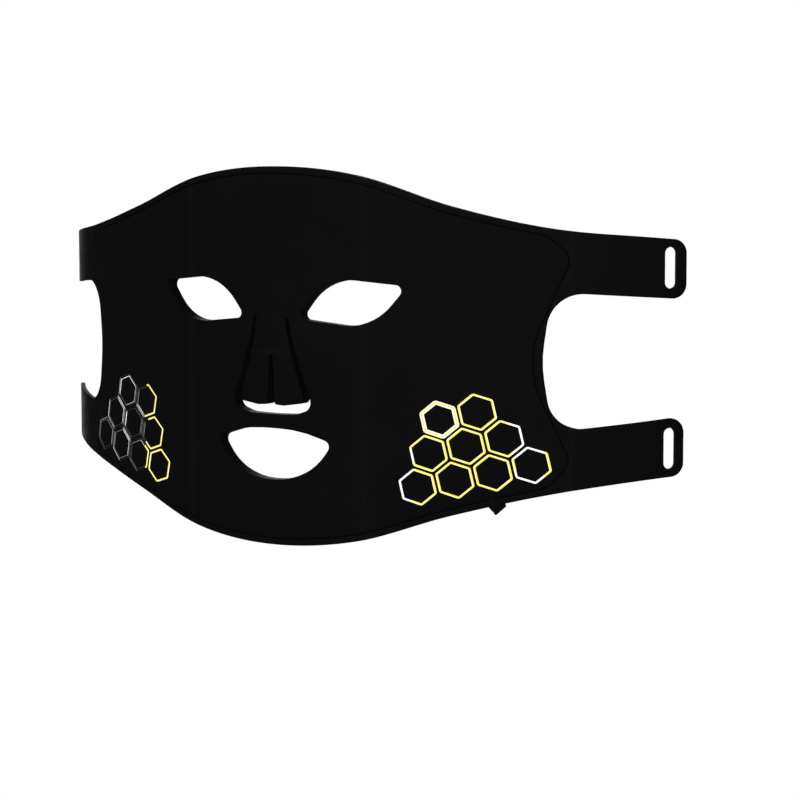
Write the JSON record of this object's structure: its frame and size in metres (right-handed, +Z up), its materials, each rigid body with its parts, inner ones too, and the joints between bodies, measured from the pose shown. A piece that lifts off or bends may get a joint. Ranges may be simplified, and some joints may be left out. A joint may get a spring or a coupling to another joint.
{
  "type": "led face mask",
  "caption": "Flexible light-therapy face mask: a bent silicone sheet with eye, nose and mouth openings, slotted strap tabs and an edge power socket.",
  "frame": {"origin": "centre of the overall box: on the mirror plane, half way up the sheet and half way between the front of the face panel and the ends of the strap tabs", "axes": "+Z up the face, -Y outwards from the wearer's face, +X towards the wearer's left"},
  "size_m": [0.394, 0.0819, 0.195],
  "materials": {
    "silicone": "matte",
    "silicone_panel": "matte",
    "foam": "matte",
    "circuit": "satin",
    "film": "matte",
    "led": "gloss",
    "lens": "gloss",
    "print_white": "satin",
    "print_yellow": "satin",
    "jack_metal": "satin",
    "contact": "satin",
    "wire": "gloss",
    "chip": "satin"
  },
  "bodies": {
    "face_panel": {"front_cover_centre": "silicone_panel", "rear_shell_centre": "silicone", "foam_backing_centre": "foam", "flex_circuit_centre": "circuit", "reflector_film_centre": "film", "leds_centre": "led", "led_lenses_centre": "lens"},
    "left_wing": {"front_cover_left": "silicone_panel", "rear_shell_left": "silicone", "foam_backing_left": "foam", "flex_circuit_left": "circuit", "reflector_film_left": "film", "leds_left": "led", "led_lenses_left": "lens", "honeycomb_rings_left": "print_white", "honeycomb_print_left": "print_yellow", "jack_boot": "silicone", "jack_barrel": "jack_metal", "jack_contact": "contact", "jack_wires": "wire", "temperature_sensor": "chip"},
    "right_wing": {"front_cover_right": "silicone_panel", "rear_shell_right": "silicone", "foam_backing_right": "foam", "flex_circuit_right": "circuit", "reflector_film_right": "film", "leds_right": "led", "led_lenses_right": "lens", "honeycomb_rings_right": "print_white", "honeycomb_print_right": "print_yellow"},
    "left_upper_tab": {"strap_tab_left_upper": "silicone"},
    "left_lower_tab": {"strap_tab_left_lower": "silicone"},
    "right_upper_tab": {"strap_tab_right_upper": "silicone"},
    "right_lower_tab": {"strap_tab_right_lower": "silicone"},
    "nose_bridge": {"nose_bridge_cover": "silicone_panel", "nose_bridge_pad": "silicone", "nose_flex_strip": "circuit", "nose_leds": "led", "nose_lenses": "lens"},
    "nose_flap_left": {"nose_flap_left_cover": "silicone_panel", "nose_flap_left_pad": "silicone"},
    "nose_flap_right": {"nose_flap_right_cover": "silicone_panel", "nose_flap_right_pad": "silicone"}
  },
  "joints": [
    {"name": "left_wing_bend", "type": "hinge", "parent": "face_panel", "child": "left_wing", "pos_m": [0.07401, -0.02824, 0], "axis": [0.0755, 0.0185, 0.997], "range_deg": [-20, 25], "stiffness_Nm_per_rad": 0.1},
    {"name": "right_wing_bend", "type": "hinge", "parent": "face_panel", "child": "right_wing", "pos_m": [-0.07401, -0.02824, 0], "axis": [0.0755, -0.0185, -0.997], "range_deg": [-20, 25], "stiffness_Nm_per_rad": 0.1},
    {"name": "left_upper_tab_bend", "type": "hinge", "parent": "left_wing", "child": "left_upper_tab", "pos_m": [0.15721, 0.0039, 0.0469], "axis": [0, 0, 1], "range_deg": [-25, 40], "stiffness_Nm_per_rad": 0.02},
    {"name": "left_lower_tab_bend", "type": "hinge", "parent": "left_wing", "child": "left_lower_tab", "pos_m": [0.15721, 0.0039, -0.0429], "axis": [0, 0, 1], "range_deg": [-25, 40], "stiffness_Nm_per_rad": 0.02},
    {"name": "right_upper_tab_bend", "type": "hinge", "parent": "right_wing", "child": "right_upper_tab", "pos_m": [-0.15721, 0.0039, 0.0469], "axis": [0, 0, -1], "range_deg": [-25, 40], "stiffness_Nm_per_rad": 0.02},
    {"name": "right_lower_tab_bend", "type": "hinge", "parent": "right_wing", "child": "right_lower_tab", "pos_m": [-0.15721, 0.0039, -0.0429], "axis": [0, 0, -1], "range_deg": [-25, 40], "stiffness_Nm_per_rad": 0.02},
    {"name": "nose_bridge_bend", "type": "hinge", "parent": "face_panel", "child": "nose_bridge", "pos_m": [0, -0.03989, 0.015], "axis": [-1, 0, 0], "range_deg": [0, 25], "stiffness_Nm_per_rad": 0.005},
    {"name": "nose_flap_left_bend", "type": "hinge", "parent": "nose_bridge", "child": "nose_flap_left", "pos_m": [0, -0.03989, -0.0024], "axis": [-1, 0, 0], "range_deg": [0, 20], "stiffness_Nm_per_rad": 0.003},
    {"name": "nose_flap_right_bend", "type": "hinge", "parent": "nose_bridge", "child": "nose_flap_right", "pos_m": [0, -0.03989, -0.0024], "axis": [-1, 0, 0], "range_deg": [0, 20], "stiffness_Nm_per_rad": 0.003}
  ]
}
